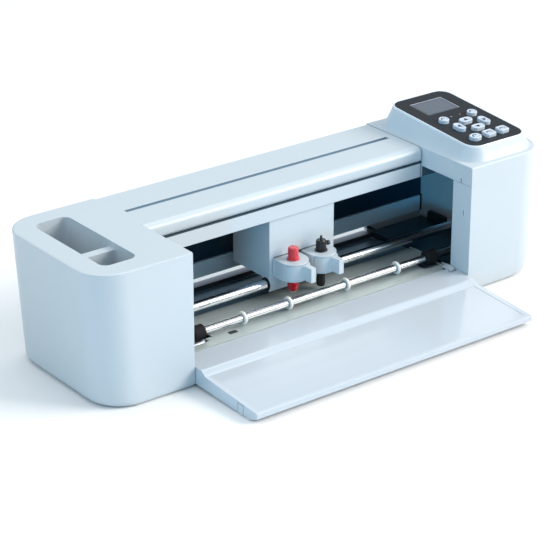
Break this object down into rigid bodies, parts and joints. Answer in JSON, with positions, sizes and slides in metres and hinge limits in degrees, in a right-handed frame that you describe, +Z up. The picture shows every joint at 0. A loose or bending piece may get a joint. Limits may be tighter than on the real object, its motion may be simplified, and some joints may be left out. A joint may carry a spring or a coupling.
{
  "type": "vinyl cutter",
  "caption": "Desktop roll and mat vinyl cutter: two end housings, a bridge, a two-tool carriage on a rod, friction feed rollers, a tilted keypad console and a fold-down front door.",
  "frame": {"origin": "on the table under the middle of the machine's bounding box, with the door open", "axes": "+X runs right along the bridge as seen from the front, +Y runs from the front to the back, +Z is up"},
  "size_m": [0.5799, 0.276, 0.17],
  "materials": {
    "body_blue": "pale blue-grey, softly glossy moulded plastic",
    "panel_black": "charcoal satin overlay",
    "button_white": "pale keys, satin",
    "screen_grey": "dark grey display window, glossy",
    "led_lens": "clear lens",
    "platen_grey": "grey-green coated sheet, satin",
    "chrome": "polished shaft",
    "aluminium": "natural extrusion",
    "steel_plate": "zinc plated sheet and ground shaft",
    "rubber": "black rubber",
    "white_nylon": "white moulded nylon",
    "gear_nylon": "natural acetal",
    "motor_black": "black motor case",
    "board_green": "green circuit board",
    "holder_red": "red glossy barrel",
    "blade_steel": "bright steel",
    "holder_black": "black barrel and slide block",
    "socket_black": "black moulded socket"
  },
  "bodies": {
    "machine": {"base_plate": "steel_plate", "foot_left": "rubber", "foot_right": "rubber", "left_housing": "body_blue", "right_housing_lower": "body_blue", "right_housing_upper": "body_blue", "control_panel": "panel_black", "lcd_window": "screen_grey", "led_ready": "led_lens", "led_power": "led_lens", "keypad_board": "board_green", "main_board": "board_green", "top_cover": "body_blue", "fascia": "body_blue", "crossbeam": "aluminium", "left_side_plate": "steel_plate", "right_side_plate": "steel_plate", "platen": "platen_grey", "rear_guide": "platen_grey", "guide_rod": "chrome", "power_inlet": "socket_black", "usb_socket": "socket_black", "feed_motor": "motor_black", "carriage_motor": "motor_black", "hinge_bracket_left": "body_blue", "hinge_bracket_right": "body_blue", "timing_belt": "rubber"},
    "door": {"door_shell": "body_blue", "door_liner": "body_blue"},
    "carriage": {"carriage_cover": "body_blue", "carriage_frame": "holder_black"},
    "blade_tool": {"blade_slide": "body_blue", "blade_holder": "holder_red", "blade_tip": "blade_steel"},
    "blade_lever": {"blade_clamp_lever": "body_blue"},
    "pen_tool": {"pen_slide": "body_blue", "pen_holder": "holder_black"},
    "pen_lever": {"pen_clamp_lever": "body_blue"},
    "feed_roller": {"drive_roller": "steel_plate", "feed_gear": "gear_nylon"},
    "pinion": {"motor_pinion": "blade_steel"},
    "pinch": {"pinch_shaft": "chrome", "media_ring_1": "white_nylon", "media_ring_2": "white_nylon", "media_ring_3": "white_nylon", "media_ring_4": "white_nylon", "pinch_roller_left": "rubber", "pinch_roller_right": "rubber"},
    "idler": {"idler_pulley": "aluminium"},
    "belt_pulley": {"drive_pulley": "aluminium"},
    "rocker": {"power_rocker": "socket_black"},
    "key_menu": {"button_menu": "button_white"},
    "key_delete": {"button_delete": "button_white"},
    "key_up": {"button_up": "button_white"},
    "key_left": {"button_left": "button_white"},
    "key_right": {"button_right": "button_white"},
    "key_down": {"button_down": "button_white"},
    "key_pause": {"button_pause": "button_white"},
    "key_test": {"button_test": "button_white"},
    "key_reset": {"button_reset": "button_white"}
  },
  "joints": [
    {"name": "door_hinge", "type": "hinge", "parent": "machine", "child": "door", "pos_m": [0, -0.0145, 0.0193], "axis": [-1, 0, 0], "range_deg": [0, 92]},
    {"name": "carriage_travel", "type": "slide", "parent": "machine", "child": "carriage", "axis": [1, 0, 0], "range_m": [-0.149, 0.195]},
    {"name": "blade_lift", "type": "slide", "parent": "carriage", "child": "blade_tool", "axis": [0, 0, -1], "range_m": [0, 0.0035], "stiffness_N_per_m": 400, "springref_m": -0.0015},
    {"name": "pen_lift", "type": "slide", "parent": "carriage", "child": "pen_tool", "axis": [0, 0, -1], "range_m": [0, 0.0025], "stiffness_N_per_m": 400, "springref_m": -0.0015},
    {"name": "blade_lever_turn", "type": "hinge", "parent": "blade_tool", "child": "blade_lever", "pos_m": [0.002, 0.0173, 0.048], "axis": [0, 0, 1], "range_deg": [0, 40]},
    {"name": "pen_lever_turn", "type": "hinge", "parent": "pen_tool", "child": "pen_lever", "pos_m": [0.0389, 0.0173, 0.048], "axis": [0, 0, 1], "range_deg": [0, 40]},
    {"name": "feed_roller_turn", "type": "hinge", "parent": "machine", "child": "feed_roller", "pos_m": [0, 0.0099, 0.0142], "axis": [1, 0, 0], "continuous": true},
    {"name": "pinion_turn", "type": "hinge", "parent": "machine", "child": "pinion", "pos_m": [0.251, 0.02159, 0.0189], "axis": [1, 0, 0], "continuous": true},
    {"name": "pinch_turn", "type": "hinge", "parent": "machine", "child": "pinch", "pos_m": [0, 0.0099, 0.0292], "axis": [1, 0, 0], "continuous": true},
    {"name": "idler_turn", "type": "hinge", "parent": "machine", "child": "idler", "pos_m": [-0.162, 0.0635, 0.117], "axis": [0, -1, 0], "range_deg": [-985, 1286]},
    {"name": "belt_pulley_turn", "type": "hinge", "parent": "machine", "child": "belt_pulley", "pos_m": [0.239, 0.0635, 0.117], "axis": [0, -1, 0], "range_deg": [-985, 1286]},
    {"name": "power_switch_rock", "type": "hinge", "parent": "machine", "child": "rocker", "pos_m": [-0.208, 0.133, 0.038], "axis": [-1, 0, 0], "range_deg": [0, 12]},
    {"name": "key_menu_press", "type": "slide", "parent": "machine", "child": "key_menu", "axis": [0, 0.0797, -0.9968], "range_m": [0, 0.0008], "stiffness_N_per_m": 300, "springref_m": -0.0003},
    {"name": "key_delete_press", "type": "slide", "parent": "machine", "child": "key_delete", "axis": [0, 0.0797, -0.9968], "range_m": [0, 0.0008], "stiffness_N_per_m": 300, "springref_m": -0.0003},
    {"name": "key_up_press", "type": "slide", "parent": "machine", "child": "key_up", "axis": [0, 0.0797, -0.9968], "range_m": [0, 0.0008], "stiffness_N_per_m": 300, "springref_m": -0.0003},
    {"name": "key_left_press", "type": "slide", "parent": "machine", "child": "key_left", "axis": [0, 0.0797, -0.9968], "range_m": [0, 0.0008], "stiffness_N_per_m": 300, "springref_m": -0.0003},
    {"name": "key_right_press", "type": "slide", "parent": "machine", "child": "key_right", "axis": [0, 0.0797, -0.9968], "range_m": [0, 0.0008], "stiffness_N_per_m": 300, "springref_m": -0.0003},
    {"name": "key_down_press", "type": "slide", "parent": "machine", "child": "key_down", "axis": [0, 0.0797, -0.9968], "range_m": [0, 0.0008], "stiffness_N_per_m": 300, "springref_m": -0.0003},
    {"name": "key_pause_press", "type": "slide", "parent": "machine", "child": "key_pause", "axis": [0, 0.0797, -0.9968], "range_m": [0, 0.0008], "stiffness_N_per_m": 300, "springref_m": -0.0003},
    {"name": "key_test_press", "type": "slide", "parent": "machine", "child": "key_test", "axis": [0, 0.0797, -0.9968], "range_m": [0, 0.0008], "stiffness_N_per_m": 300, "springref_m": -0.0003},
    {"name": "key_reset_press", "type": "slide", "parent": "machine", "child": "key_reset", "axis": [0, 0.0797, -0.9968], "range_m": [0, 0.0008], "stiffness_N_per_m": 300, "springref_m": -0.0003}
  ],
  "couplings": [
    {"joint": "pinion_turn", "follows": "feed_roller_turn", "ratio": -2},
    {"joint": "pinch_turn", "follows": "feed_roller_turn", "ratio": -0.9091},
    {"joint": "idler_turn", "follows": "carriage_travel", "rad_per_m": 114.94},
    {"joint": "belt_pulley_turn", "follows": "carriage_travel", "rad_per_m": 114.94}
  ]
}
